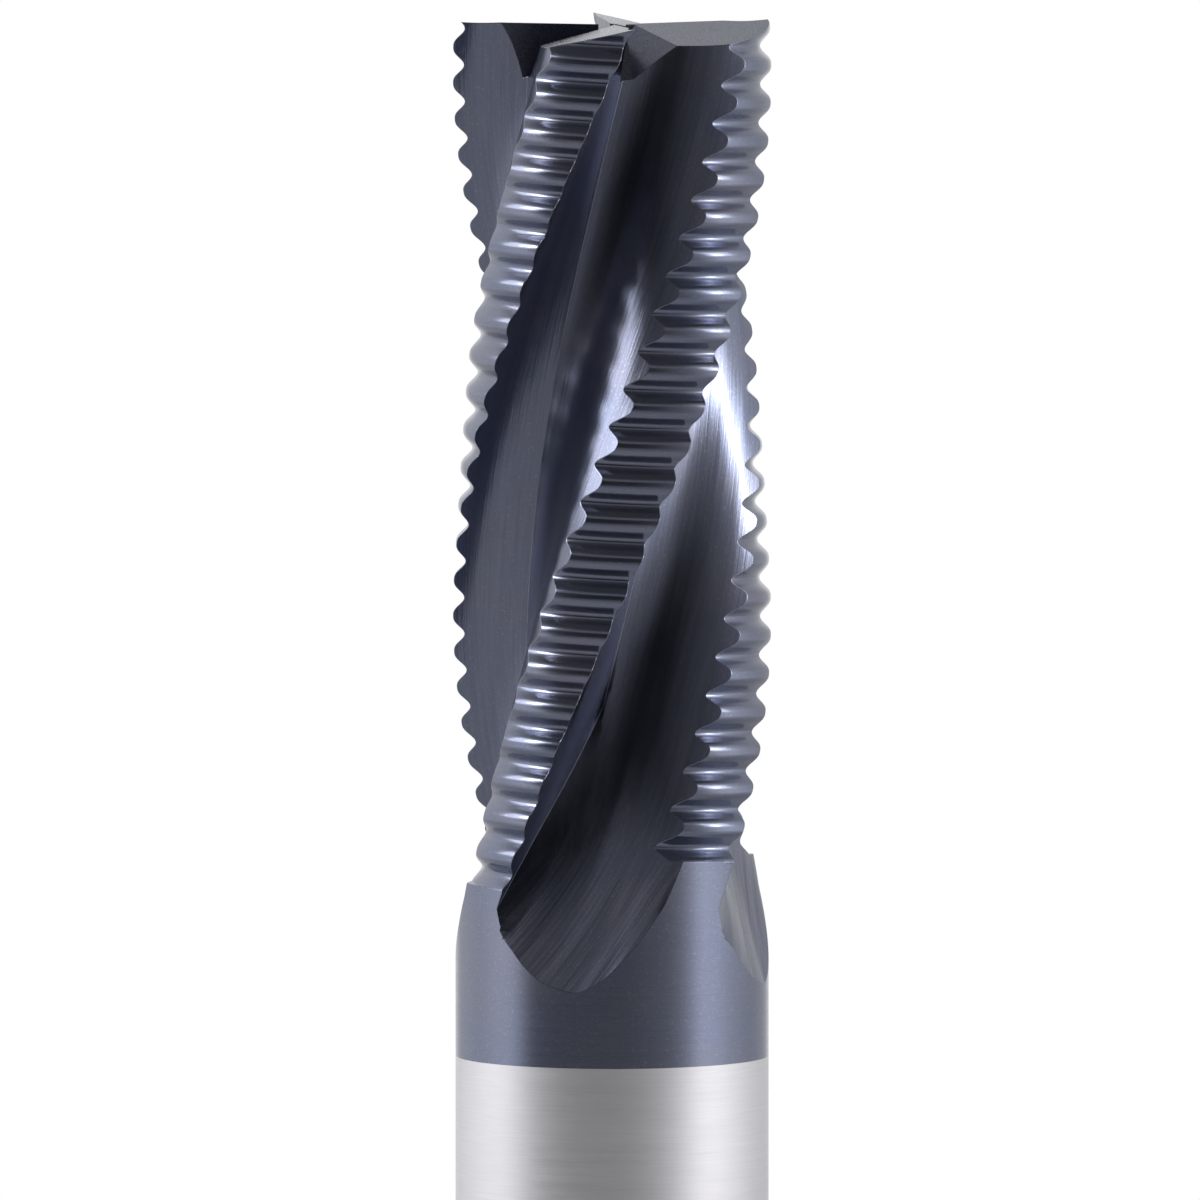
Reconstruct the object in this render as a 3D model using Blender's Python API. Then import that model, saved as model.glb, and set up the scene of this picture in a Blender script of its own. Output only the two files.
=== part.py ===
"""A solid carbide roughing end mill: four helical flutes on a plain cylindrical shank.

The tool stands on the flat end of its shank, at the origin, with its cutting end up. It is made in
the order that it is ground in: a blank whose cutting length carries the waves of a chip breaking
thread, four flutes that run out on the shank, four gashes across the end, and the end relief.
A drop is a distance below the tips of the teeth, and an angle ahead of a cutting edge is positive
on the side of its rake face.
"""

import math

import bmesh
import bpy
from mathutils import Vector

# Shank and overall length
OVERALL_LENGTH = 0.1000
SHANK_DIAMETER = 0.0160
SHANK_CHAMFER = 0.0008
SHANK_SIDES = 64

# Cutting part
TEETH = 4
CUTTING_DIAMETER = 0.01624
CORE_DIAMETER = 0.00858
HELIX_LEAD = 0.1115
FIRST_EDGE_ANGLE = -81.8

# Chip breaking thread: one left-hand wave round all the lands, so that the crests of each tooth
# stand a fraction of a pitch further down than those of the tooth before it
RIDGED_LENGTH = 0.0441
WAVE_PITCH = 0.001943
WAVE_DEPTH = 0.00055
WAVE_SHARPNESS = 1.45
WAVE_SKEW = 0.01
FIRST_CREST_DROP = 0.00179
STEP_BEFORE_CREST = 0.00028
ROWS_PER_WAVE = 6
ROOT_PAST_CREST = 0.25

# Land behind each cutting edge, and the angles of the blank's points on it and in the flute to be
LAND_ANGLE = 28.0
LAND_RELIEF = 0.00047
HEEL_RELIEF = 0.00009
LAND_ANGLES = (-40.0, -25.0, -12.5, 1.5)
GAP_ANGLES = (18.0, 34.0)

# Flute section, drawn for teeth a quarter turn apart: depth share (0 at the core, 1 at the cutting
# diameter) and angle ahead of the cutting edge. The rake face ends in a crease, where the floor
# starts, and each line of the floor and back comes out of the shank so far before the last one
DRAWN_TOOTH_ANGLE = 90.0
RAKE_SECTION = (
    (1.099, 0.5),
    (0.812, -1.0),
    (0.603, -1.2),
    (0.394, 0.3),
    (0.185, 3.5),
    (0.016, 8.0),
)
FLOOR_SECTION = (
    (0.016, 8.0, 0.0026),
    (0.000, 14.5, 0.0020),
    (0.018, 24.0, 0.0011),
    (0.086, 32.5, 0.0005),
    (0.209, 39.5, 0.0002),
    (0.407, 47.0, 0.0000),
    (0.598, 53.5, 0.0001),
    (0.794, 60.0, 0.0017),
    (0.995, 66.5, 0.0051),
    (1.099, 69.8, 0.0065),
)
RAKE_POINT_STEP = 0.00002
FLUTE_MIDDLE_ANGLE = 33.0
RUNOUT_PAST_RIDGES = 0.0050
RUNOUT_RADIUS = 0.0320
CREASE_BEFORE_END = 0.0041
CREASE_RUNOUT = 0.0104
CREASE_BEND = 1.15
COATING_PAST_FLUTES = 0.00385
FLUTE_STATION = 0.0022
RUNOUT_STATION = 0.0013
LID_ANGLES = (78.0, 60.0, 42.0, 22.0, 2.0)

# End face: relief behind each end edge, dish towards the axis, and the gashes
END_RELIEF_ANGLE = 13.0
DISH_ANGLE = 1.5
GASH_WALL_LEAN = 5.6
GASH_WALL_OFFSET = 0.00003
GASH_BACK_ANGLE = 55.0
GASH_FLOOR = 0.0007
GASH_CENTRE_DROP = 0.00045
GASH_SLOPE_ANGLE = 28.6
GASH_INNER_REACH = 0.0002
GASH_OUTER_REACH = 0.0008
CENTRE_RELIEF_RADIUS = 0.0007
CENTRE_RELIEF_DROP = 0.0005
CENTRE_RELIEF_SIDES = 12
SECTOR_INNER = 0.00025
SECTOR_AHEAD = 0.00035

# How far cutters and blanks reach past the surfaces that they cut or fill
BLANK_ABOVE = 0.0007
BLANK_BELOW = 0.0015
BLANK_INSET = 0.0008
CUTTER_ABOVE = 0.0020
CUTTER_BELOW = 0.0010
CUTTER_OUTSIDE = 0.0040
RAISED_CLEARANCE = 0.0002
SHARP_ANGLE = 28.0

CUTTING_RADIUS = CUTTING_DIAMETER / 2
CORE_RADIUS = CORE_DIAMETER / 2
SHANK_RADIUS = SHANK_DIAMETER / 2
TOOTH_ANGLE = 360.0 / TEETH
FLUTE_LENGTH = RIDGED_LENGTH + RUNOUT_PAST_RIDGES
COATED_LENGTH = FLUTE_LENGTH + COATING_PAST_FLUTES
CREST_SPACING = WAVE_PITCH / (1 + WAVE_PITCH / HELIX_LEAD)


def clear_scene():
    for obj in list(bpy.data.objects):
        bpy.data.objects.remove(obj, do_unlink=True)


def new_collection(name):
    collection = bpy.data.collections.new(name)
    bpy.context.scene.collection.children.link(collection)
    return collection


def new_material(name, colour, roughness, metallic):
    material = bpy.data.materials.new(name)
    material.use_nodes = True
    shader = material.node_tree.nodes["Principled BSDF"]
    shader.inputs["Base Color"].default_value = (*colour, 1.0)
    shader.inputs["Roughness"].default_value = roughness
    shader.inputs["Metallic"].default_value = metallic
    return material


def at(radius, angle, drop):
    """The point at this radius and angle, in degrees, this far below the tips of the teeth."""
    turn = math.radians(angle)
    return Vector((radius * math.cos(turn), radius * math.sin(turn), OVERALL_LENGTH - drop))


def edge_angle(tooth, drop):
    """Where the right-hand cutting edge of a tooth is at a drop."""
    return FIRST_EDGE_ANGLE + TOOTH_ANGLE * tooth - 360.0 * drop / HELIX_LEAD


def extrude_ring(bm, ring, points):
    """Extrudes a closed ring of vertices once and sets the new ring at these points."""
    edges = [bm.edges.get((ring[i - 1], ring[i])) for i in range(len(ring))]
    made = bmesh.ops.extrude_edge_only(bm, edges=edges)["geom"]
    fresh = {item for item in made if isinstance(item, bmesh.types.BMVert)}
    grown = []
    for old, point in zip(ring, points):
        new = next(e.other_vert(old) for e in old.link_edges if e.other_vert(old) in fresh)
        new.co = point
        grown.append(new)
    return grown


def swept_solid(name, rings, collection):
    """A closed solid through rings of points that all have the same number of points."""
    bm = bmesh.new()
    circle = bmesh.ops.create_circle(bm, segments=len(rings[0]), radius=1.0)["verts"]
    for vert, point in zip(circle, rings[0]):
        vert.co = point
    first = ring = circle
    for points in rings[1:]:
        ring = extrude_ring(bm, ring, points)
    bm.faces.new(first)
    bm.faces.new(ring)
    bmesh.ops.triangulate(bm, faces=bm.faces[:])
    bmesh.ops.recalc_face_normals(bm, faces=bm.faces[:])
    mesh = bpy.data.meshes.new(name)
    bm.to_mesh(mesh)
    bm.free()
    obj = bpy.data.objects.new(name, mesh)
    collection.objects.link(obj)
    return obj


def drawn(angle):
    """An angle of the drawn section, brought to the real spacing of the teeth."""
    return angle * TOOTH_ANGLE / DRAWN_TOOTH_ANGLE


def thread_seam_angle():
    """How far past the first edge the thread's last turn ends, in the middle of a flute."""
    turned = 360.0 * RIDGED_LENGTH / HELIX_LEAD
    return (TOOTH_ANGLE + drawn(FLUTE_MIDDLE_ANGLE) - turned) % 360.0 - 360.0


def thread_end_drop(past_first):
    """The last crest of the thread, at an angle past the first edge within one turn of the seam."""
    first = FIRST_CREST_DROP * WAVE_PITCH / CREST_SPACING
    seam = (thread_seam_angle() + 360.0 - drawn(FLUTE_MIDDLE_ANGLE)) / 360.0
    whole = round((RIDGED_LENGTH - first) / WAVE_PITCH - seam)
    return first + WAVE_PITCH * (past_first / 360.0 + whole)


def past_thread_end(angle, drop):
    """How far a point is below the last crest of the thread, in waves."""
    seam = thread_seam_angle()
    past_first = (angle - FIRST_EDGE_ANGLE - seam) % 360.0 + seam
    return (drop - thread_end_drop(past_first)) / WAVE_PITCH


def land_radius(ahead, phase):
    """The radius of a land at an angle ahead of its edge and a phase of the wave, in turns."""
    across = min(ahead, drawn(LAND_ANGLES[-1])) / drawn(LAND_ANGLE)
    slope = across * (LAND_RELIEF - HEEL_RELIEF * across)
    turned = 2 * math.pi * (phase - WAVE_SKEW * (1 - math.cos(2 * math.pi * phase)) / 2)
    wave = ((1 - math.cos(turned)) / 2) ** WAVE_SHARPNESS
    return CUTTING_RADIUS + slope - WAVE_DEPTH * wave


def blank_row(row):
    """One ring of the ridged blank, which follows one phase of the thread on every land."""
    points = []
    for tooth in range(TEETH):
        phase = (row - round(tooth * ROWS_PER_WAVE / TEETH)) / ROWS_PER_WAVE
        for ahead in map(drawn, LAND_ANGLES + GAP_ANGLES):
            drop = FIRST_CREST_DROP + CREST_SPACING * (tooth / TEETH + ahead / 360.0 + phase)
            angle = edge_angle(tooth, drop) + ahead
            radius = land_radius(ahead, phase)
            if past_thread_end(angle, drop) > ROOT_PAST_CREST:
                radius = min(radius, SHANK_RADIUS - BLANK_INSET)
            points.append(at(radius, angle, drop))
    return points


def ridged_blank(collection):
    """The cutting length before its flutes are ground, from above the tips into the shank."""
    row_height = CREST_SPACING / ROWS_PER_WAVE
    first = -math.ceil((FIRST_CREST_DROP + BLANK_ABOVE) / row_height)
    last = math.ceil((RIDGED_LENGTH + BLANK_BELOW - FIRST_CREST_DROP) / row_height)
    rings = [blank_row(row) for row in range(first, last + 1)]
    return swept_solid("ridged_blank", rings, collection)


def shank_blank(collection):
    """The plain shank, from the helical foot of the thread to its chamfered end."""
    seam = thread_seam_angle()
    around = [seam + 360.0 * i / SHANK_SIDES for i in range(SHANK_SIDES)]
    angles = [FIRST_EDGE_ANGLE + past_first for past_first in around]
    steps = [thread_end_drop(past_first) - STEP_BEFORE_CREST for past_first in around]
    chamfered = SHANK_RADIUS - SHANK_CHAMFER
    rings = [
        [at(CORE_RADIUS, angle, max(steps)) for angle in angles],
        [at(CORE_RADIUS + BLANK_INSET, angle, drop) for angle, drop in zip(angles, steps)],
        [at(SHANK_RADIUS, angle, drop) for angle, drop in zip(angles, steps)],
        [at(SHANK_RADIUS, angle, COATED_LENGTH) for angle in angles],
        [at(SHANK_RADIUS, angle, OVERALL_LENGTH - SHANK_CHAMFER) for angle in angles],
        [at(chamfered, angle, OVERALL_LENGTH) for angle in angles],
    ]
    return swept_solid("shank_blank", rings, collection)


def section_radius(share):
    return CORE_RADIUS + share * (CUTTING_RADIUS - CORE_RADIUS)


def rake_angle(radius):
    """How far ahead of the cutting edge the rake face is at a radius."""
    outer, outer_ahead = RAKE_SECTION[0]
    for share, ahead in RAKE_SECTION[1:]:
        if radius >= section_radius(share):
            part = (radius - section_radius(share)) / (section_radius(outer) - section_radius(share))
            return ahead + min(part, 1.0) * (outer_ahead - ahead)
        outer, outer_ahead = share, ahead
    return outer_ahead


def crease_radius(drop):
    """The radius of the crease at a drop. It climbs the rake face where the flute runs out."""
    radius = section_radius(FLOOR_SECTION[0][0])
    start = FLUTE_LENGTH - CREASE_BEFORE_END - CREASE_RUNOUT
    climbed = (max(drop - start, 0.0) / CREASE_RUNOUT) ** CREASE_BEND
    raised = radius + climbed * max(SHANK_RADIUS - radius, 0.0)
    return min(raised, max(CUTTING_RADIUS, SHANK_RADIUS) + RAISED_CLEARANCE)


def flute_ring(tooth, drop):
    """One ring of a flute cutter: its floor rises through the rake face where the flute runs out."""
    edge = edge_angle(tooth, drop)
    outside = max(CUTTING_RADIUS, SHANK_RADIUS)
    crease = crease_radius(drop)
    section = [(crease, rake_angle(crease))]
    for share, ahead, before_end in FLOOR_SECTION[1:]:
        radius = section_radius(share)
        depth = max(SHANK_RADIUS - radius, 0.0)
        start = FLUTE_LENGTH - before_end - math.sqrt(2 * RUNOUT_RADIUS * depth)
        rise = max(drop - start, 0.0) ** 2 / (2 * RUNOUT_RADIUS)
        section.append((max(radius, min(radius + rise, outside + RAISED_CLEARANCE)), ahead))
    for share, _ in reversed(RAKE_SECTION[:-1]):
        radius = max(section_radius(share), section[0][0] + RAKE_POINT_STEP)
        section.insert(0, (radius, rake_angle(radius)))
    points = [at(radius, edge + drawn(ahead), drop) for radius, ahead in section]
    lid = outside + CUTTER_OUTSIDE
    points += [at(lid, edge + drawn(ahead), drop) for ahead in LID_ANGLES]
    return points


def flute_stations():
    """Drops of the rings of a flute cutter, closer together along the run-out."""
    floor_rise = math.sqrt(2 * RUNOUT_RADIUS * (SHANK_RADIUS - CORE_RADIUS))
    last = FLUTE_LENGTH + CUTTER_BELOW
    drops = [-CUTTER_ABOVE]
    while drops[-1] < last - RUNOUT_STATION:
        in_runout = drops[-1] > FLUTE_LENGTH - floor_rise
        drops.append(drops[-1] + (RUNOUT_STATION if in_runout else FLUTE_STATION))
    return drops + [last]


def flute_cutter(tooth, collection):
    rings = [flute_ring(tooth, drop) for drop in flute_stations()]
    return swept_solid(f"flute_cutter_{tooth}", rings, collection)


def end_frame(tooth):
    """Unit vectors along the end edge of a tooth and ahead of it, where the tip is."""
    turn = math.radians(edge_angle(tooth, 0.0))
    along = Vector((math.cos(turn), math.sin(turn), 0.0))
    ahead = Vector((-math.sin(turn), math.cos(turn), 0.0))
    return along, ahead


def end_point(frame, along, ahead, drop):
    return frame[0] * along + frame[1] * ahead + Vector((0.0, 0.0, OVERALL_LENGTH - drop))


def relief_drop(along, behind):
    """The drop of the end relief of a tooth, which falls away behind its edge."""
    dish = (CUTTING_RADIUS - along) * math.tan(math.radians(DISH_ANGLE))
    return dish + behind * math.tan(math.radians(END_RELIEF_ANGLE))


def relief_cutter(tooth, collection):
    """A quarter block whose underside is the end relief behind the edge of one tooth."""
    frame = end_frame(tooth)
    reach = CUTTING_RADIUS + CUTTER_OUTSIDE
    corners = [
        (SECTOR_INNER, -SECTOR_AHEAD),
        (reach, -SECTOR_AHEAD),
        (reach, reach),
        (SECTOR_INNER, reach),
    ]
    top = [end_point(frame, x, -y, -CUTTER_ABOVE) for x, y in corners]
    bottom = [end_point(frame, x, -y, relief_drop(x, y)) for x, y in corners]
    return swept_solid(f"relief_cutter_{tooth}", [top, bottom], collection)


def gash_section(frame, along):
    """The section of a gash this far from the axis: leaning wall, floor and open back."""
    floor_drop = GASH_CENTRE_DROP + along * math.tan(math.radians(GASH_SLOPE_ANGLE))
    lean = math.tan(math.radians(GASH_WALL_LEAN))
    wall_top = GASH_WALL_OFFSET + CUTTER_ABOVE * lean
    wall_foot = GASH_WALL_OFFSET - floor_drop * lean
    floor_end = wall_foot + GASH_FLOOR
    opening = (floor_drop + CUTTER_ABOVE) * math.tan(math.radians(GASH_BACK_ANGLE))
    return [
        end_point(frame, along, wall_top, -CUTTER_ABOVE),
        end_point(frame, along, wall_foot, floor_drop),
        end_point(frame, along, floor_end, floor_drop),
        end_point(frame, along, floor_end + opening, -CUTTER_ABOVE),
    ]


def gash_cutter(tooth, collection):
    frame = end_frame(tooth)
    outer = CUTTING_RADIUS + GASH_OUTER_REACH
    rings = [gash_section(frame, along) for along in (GASH_INNER_REACH, outer)]
    return swept_solid(f"gash_cutter_{tooth}", rings, collection)


def centre_cutter(collection):
    """Clears the point where the four end edges would meet."""
    angles = [360.0 * i / CENTRE_RELIEF_SIDES for i in range(CENTRE_RELIEF_SIDES)]
    rings = [
        [at(CENTRE_RELIEF_RADIUS, angle, -CUTTER_ABOVE) for angle in angles],
        [at(CENTRE_RELIEF_RADIUS, angle, CENTRE_RELIEF_DROP) for angle in angles],
    ]
    return swept_solid("centre_cutter", rings, collection)


def combine(target, other, operation):
    """Adds or cuts another solid with an exact Boolean, applied at once."""
    modifier = target.modifiers.new(other.name, "BOOLEAN")
    modifier.operation = operation
    modifier.solver = "EXACT"
    modifier.object = other
    bpy.context.view_layer.update()
    graph = bpy.context.evaluated_depsgraph_get()
    made = bpy.data.meshes.new_from_object(target.evaluated_get(graph))
    target.modifiers.remove(modifier)
    old = target.data
    target.data = made
    bpy.data.meshes.remove(old)


def finish(obj, coated, bare):
    """Gives the coated part and the bare shank their materials and smooth shading."""
    mesh = obj.data
    mesh.materials.clear()
    mesh.materials.append(coated)
    mesh.materials.append(bare)
    line = OVERALL_LENGTH - COATED_LENGTH
    for face in mesh.polygons:
        face.material_index = 1 if face.center.z < line else 0
    mesh.shade_smooth()
    mesh.set_sharp_from_angle(angle=math.radians(SHARP_ANGLE))


def main():
    clear_scene()
    parts = new_collection("roughing_end_mill")
    cutters = new_collection("cutters")
    cutters.hide_render = True

    mill = ridged_blank(parts)
    mill.name = "end_mill"
    shank = shank_blank(cutters)
    combine(mill, shank, "UNION")
    tools = [flute_cutter(tooth, cutters) for tooth in range(TEETH)]
    tools += [gash_cutter(tooth, cutters) for tooth in range(TEETH)]
    tools += [relief_cutter(tooth, cutters) for tooth in range(TEETH)]
    tools.append(centre_cutter(cutters))
    for tool in tools:
        combine(mill, tool, "DIFFERENCE")
    for helper in [shank] + tools:
        helper.hide_render = True
        helper.display_type = "WIRE"

    coated = new_material("coated_carbide", (0.085, 0.085, 0.115), 0.28, 0.9)
    bare = new_material("ground_carbide", (0.56, 0.57, 0.59), 0.3, 1.0)
    finish(mill, coated, bare)


main()
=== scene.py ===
"""The look of a coated carbide roughing end mill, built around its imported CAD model.

One finely modelled mill stands for the CAD solid: the same blank, flutes, gashes and end relief,
with rounder waves and smoother flutes. The lands, flutes, gashes, end relief, coated shank and bare
shank each have a finish of their own. Lengths are in metres and angles in degrees. A drop is a
distance below the tips of the teeth, and an angle ahead of a cutting edge is positive on the side
of its rake face.
"""

import math

import bmesh
import bpy
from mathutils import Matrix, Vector


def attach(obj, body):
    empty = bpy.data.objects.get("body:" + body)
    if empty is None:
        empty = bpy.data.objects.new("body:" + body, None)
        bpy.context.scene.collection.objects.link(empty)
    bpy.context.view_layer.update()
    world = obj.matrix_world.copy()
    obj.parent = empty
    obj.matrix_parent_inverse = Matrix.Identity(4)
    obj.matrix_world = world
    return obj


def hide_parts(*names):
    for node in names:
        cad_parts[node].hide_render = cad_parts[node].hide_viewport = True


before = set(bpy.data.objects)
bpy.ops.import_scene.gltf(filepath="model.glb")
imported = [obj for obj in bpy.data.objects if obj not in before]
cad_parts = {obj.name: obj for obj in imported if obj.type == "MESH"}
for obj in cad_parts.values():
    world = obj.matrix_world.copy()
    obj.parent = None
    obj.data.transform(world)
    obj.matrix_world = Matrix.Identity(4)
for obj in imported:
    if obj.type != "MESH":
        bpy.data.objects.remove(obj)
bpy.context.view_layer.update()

# Sizes that the CAD model has too
OVERALL_LENGTH = 0.1000
SHANK_RADIUS = 0.0080
SHANK_CHAMFER = 0.0008
TEETH = 4
TOOTH_ANGLE = 90.0
CUTTING_RADIUS = 0.00812
CORE_RADIUS = 0.00429
HELIX_LEAD = 0.1115
FIRST_EDGE_ANGLE = -81.8
RIDGED_LENGTH = 0.0441
WAVE_PITCH = 0.001943
WAVE_DEPTH = 0.00055
WAVE_SHARPNESS = 1.45
WAVE_SKEW = 0.01
FIRST_CREST_DROP = 0.00179
STEP_BEFORE_CREST = 0.00028
CREST_SPACING = WAVE_PITCH / (1 + WAVE_PITCH / HELIX_LEAD)
LAND_ANGLE = 28.0
LAND_RELIEF = 0.00047
HEEL_RELIEF = 0.00009
FLUTE_MIDDLE_ANGLE = 33.0
FLUTE_LENGTH = 0.0491
RUNOUT_RADIUS = 0.0320
CREASE_BEFORE_END = 0.0041
CREASE_RUNOUT = 0.0104
CREASE_BEND = 1.15
COATED_LENGTH = 0.05295

# Where the ridged blank ends inside the shank, in waves past the last crest. The CAD model's ends
# later, so that a little of its last crest stands beside the run-out of a flute
ROOT_PAST_CREST = -0.10

# Flute section: radius and angle ahead of the cutting edge. The rake face ends in a crease, where
# the floor starts, and each line of the floor and back comes out of the shank so far before the
# last one. Those at 51.5 and 56 degrees do so sooner than in the CAD model, for a rounder corner
RAKE_SECTION = (
    (0.00850, 0.5),
    (0.00740, -1.0),
    (0.00660, -1.2),
    (0.00580, 0.3),
    (0.00500, 3.5),
    (0.00435, 8.0),
)
FLOOR_SECTION = (
    (0.00435, 8.0, 0.00260),
    (0.00429, 14.5, 0.00200),
    (0.00432, 21.0, 0.00135),
    (0.00442, 27.0, 0.00085),
    (0.00462, 32.5, 0.00045),
    (0.00493, 37.5, 0.00025),
    (0.00535, 42.3, 0.00010),
    (0.00585, 47.0, 0.00000),
    (0.00635, 51.5, 0.00030),
    (0.00687, 56.0, 0.00090),
    (0.00757, 62.2, 0.00280),
    (0.00810, 66.5, 0.00510),
    (0.00850, 69.8, 0.00650),
)

# End face
END_RELIEF_ANGLE = 13.0
DISH_ANGLE = 1.5
GASH_WALL_LEAN = 5.6
GASH_WALL_OFFSET = 0.00003
GASH_BACK_ANGLE = 55.0
GASH_FLOOR = 0.0007
GASH_CENTRE_DROP = 0.00045
GASH_SLOPE_ANGLE = 28.6
GASH_INNER_REACH = 0.0002
GASH_OUTER_REACH = 0.0008
CENTRE_RELIEF_RADIUS = 0.0007
CENTRE_RELIEF_DROP = 0.0005
SECTOR_INNER = 0.00025
SECTOR_AHEAD = 0.00035

# Fineness of the modelling
ROWS_PER_WAVE = 20
LAND_ANGLES = (
    -40, -36, -32, -28.5, -25.5, -22.5, -19.5, -16.5, -13.5, -10.5, -7.5, -4.5, -2, 0, 1.5
)
GAP_ANGLES = (12.0, 24.0, 37.0)
SHANK_SIDES = 192
SHANK_RING = 0.0005
RAKE_STEPS = 4
FLOOR_STEPS = 4
FLUTE_STATION = 0.0007
RUNOUT_STATION = 0.0004
CENTRE_RELIEF_SIDES = 32
SHARP_ANGLE = 26.0

# How far blanks and cutters reach past the surfaces that they fill or cut
BLANK_ABOVE = 0.0007
BLANK_BELOW = 0.0015
BLANK_INSET = 0.0008
CUTTER_ABOVE = 0.0020
CUTTER_BELOW = 0.0010
CUTTER_OUTSIDE = 0.0040
RAISED_CLEARANCE = 0.0002
RAKE_POINT_STEP = 0.000005
LID_ANGLES = (78.0, 66.0, 54.0, 42.0, 30.0, 16.0, 2.0)

# Colours of the finishes, as red, green, blue and alpha
WHITE = (1.0, 1.0, 1.0, 1.0)
COATING_BLUE = (0.178, 0.198, 0.278, 1.0)
COATING_VIOLET = (0.190, 0.200, 0.268, 1.0)
COATING_SPECK = (0.36, 0.37, 0.43, 1.0)
# Lighter grey of sharp edges: partly coating worn down to carbide, partly a painted glint along the
# rims
WORN_EDGE_AND_PAINTED_GLINT = (0.62, 0.62, 0.66, 1.0)
BARE_DARK = (0.69, 0.68, 0.71, 1.0)
BARE_LIGHT = (0.76, 0.75, 0.78, 1.0)

# Textures: the range of a noise that is spread from 0 to 1, the fineness of the coating's drift in
# hue, of its specks and of the bare shank's smears, and the range of a noise over which a speck
# comes up to its full strength
NOISE_RANGE = (0.35, 0.65)
DRIFT_SCALE = 260.0
SPECK_SCALE = 9000.0
SMEAR_SCALE = 180.0
SPECK_RANGE = (0.62, 0.72)
SPECK_STRENGTH = 0.35

# Grinding lines: how far heights are squeezed so that lines run on along a flute, the broad bands
# to each line, the stretch that lays lines round the tool or across its end, and the range of bands
# and haze together over which a finish goes from its lowest roughness to its highest
HEIGHT_SQUEEZE = 0.03
BANDS_PER_LINE = 0.22
ROUND_TOOL = (0.02, 0.02, 1.0)
ACROSS_END = (1.0, 0.05, 0.3)
BANDS_AND_HAZE = (0.2, 1.6)

# Lines to a metre on the other surfaces. On the end and in the gashes they are too fine to be seen
# singly, so there they darken the colour evenly, which in the gashes is painted shade
LAND_LINES = 12000.0
END_LINES = 60000.0
SHANK_LINES = 16000.0

# Flutes: lines to a metre, how faint their shade gets and how far their bands show. Below the drop
# the lines go over into those of the run-out, which are coarser and lie on a helix of another lead
FLUTE_LINES = 8000.0
FLUTE_FAINTEST_SHADE = 0.65
FLUTE_BANDS = (0.0, 0.5)
RUNOUT_LINES = 5500.0
RUNOUT_BANDS = (0.4, 1.1)
RUNOUT_MARKS_DROP = 0.0415
RUNOUT_MARKS_BLEND = 0.0020
RUNOUT_MARKS_LEAD = 0.0688

# Sharp edges: how far they are rounded in the finishes, and where their colour starts to go over
# into a lighter grey and does so most, as the cosine between the rounded normal and the face's own.
# That grey is partly worn coating and partly a painted glint
EDGE_ROUNDING = 0.00006
WEAR_AND_GLINT_STARTS = 0.995
WEAR_AND_GLINT_FULL = 0.9

# The photograph's view
VIEW_ELEVATION = 4.4
VIEW_DISTANCE = 1.67
VIEW_LENS = 981.4
VIEW_CENTRE = (-0.000617, 0.0, 0.07036)


def at(radius, angle, drop):
    """The point at this radius and angle, this far below the tips of the teeth."""
    turn = math.radians(angle)
    return Vector((radius * math.cos(turn), radius * math.sin(turn), OVERALL_LENGTH - drop))


def edge_angle(tooth, drop):
    """Where the right-hand cutting edge of a tooth is at a drop."""
    return FIRST_EDGE_ANGLE + TOOTH_ANGLE * tooth - 360.0 * drop / HELIX_LEAD


def extrude_ring(bm, ring, points):
    """Extrudes a closed ring of vertices once and sets the new ring at these points."""
    edges = [bm.edges.get((ring[i - 1], ring[i])) for i in range(len(ring))]
    made = bmesh.ops.extrude_edge_only(bm, edges=edges)["geom"]
    fresh = {item for item in made if isinstance(item, bmesh.types.BMVert)}
    grown = []
    for old, point in zip(ring, points):
        new = next(e.other_vert(old) for e in old.link_edges if e.other_vert(old) in fresh)
        new.co = point
        grown.append(new)
    return grown


def sweep(bm, rings):
    """Grows a closed solid through rings of points that all have the same number of points."""
    circle = bmesh.ops.create_circle(bm, segments=len(rings[0]), radius=1.0)["verts"]
    for vert, point in zip(circle, rings[0]):
        vert.co = point
    first = ring = circle
    for points in rings[1:]:
        ring = extrude_ring(bm, ring, points)
    bm.faces.new(first)
    bm.faces.new(ring)


def solid(name, sweeps, finish):
    """One object from several separate swept solids, all with one finish."""
    bm = bmesh.new()
    for rings in sweeps:
        sweep(bm, rings)
    bmesh.ops.triangulate(bm, faces=bm.faces[:])
    bmesh.ops.recalc_face_normals(bm, faces=bm.faces[:])
    mesh = bpy.data.meshes.new(name)
    bm.to_mesh(mesh)
    bm.free()
    mesh.materials.append(finish)
    obj = bpy.data.objects.new(name, mesh)
    bpy.context.scene.collection.objects.link(obj)
    return obj


# Blank


def thread_seam_angle():
    """How far past the first edge the thread's last turn ends, in the middle of a flute."""
    turned = 360.0 * RIDGED_LENGTH / HELIX_LEAD
    return (TOOTH_ANGLE + FLUTE_MIDDLE_ANGLE - turned) % 360.0 - 360.0


def thread_end_drop(past_first):
    """The last crest of the thread, at an angle past the first edge within one turn of the seam."""
    first = FIRST_CREST_DROP * WAVE_PITCH / CREST_SPACING
    seam = (thread_seam_angle() + 360.0 - FLUTE_MIDDLE_ANGLE) / 360.0
    whole = round((RIDGED_LENGTH - first) / WAVE_PITCH - seam)
    return first + WAVE_PITCH * (past_first / 360.0 + whole)


def past_thread_end(angle, drop):
    """How far a point is below the last crest of the thread, in waves."""
    seam = thread_seam_angle()
    past_first = (angle - FIRST_EDGE_ANGLE - seam) % 360.0 + seam
    return (drop - thread_end_drop(past_first)) / WAVE_PITCH


def land_radius(ahead, phase):
    """The radius of a land at an angle ahead of its edge and a phase of the wave, in turns."""
    turned = 2 * math.pi * (phase - WAVE_SKEW * (1 - math.cos(2 * math.pi * phase)) / 2)
    wave = ((1 - math.cos(turned)) / 2) ** WAVE_SHARPNESS
    across = min(ahead, LAND_ANGLES[-1]) / LAND_ANGLE
    return CUTTING_RADIUS + across * (LAND_RELIEF - HEEL_RELIEF * across) - WAVE_DEPTH * wave


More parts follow.
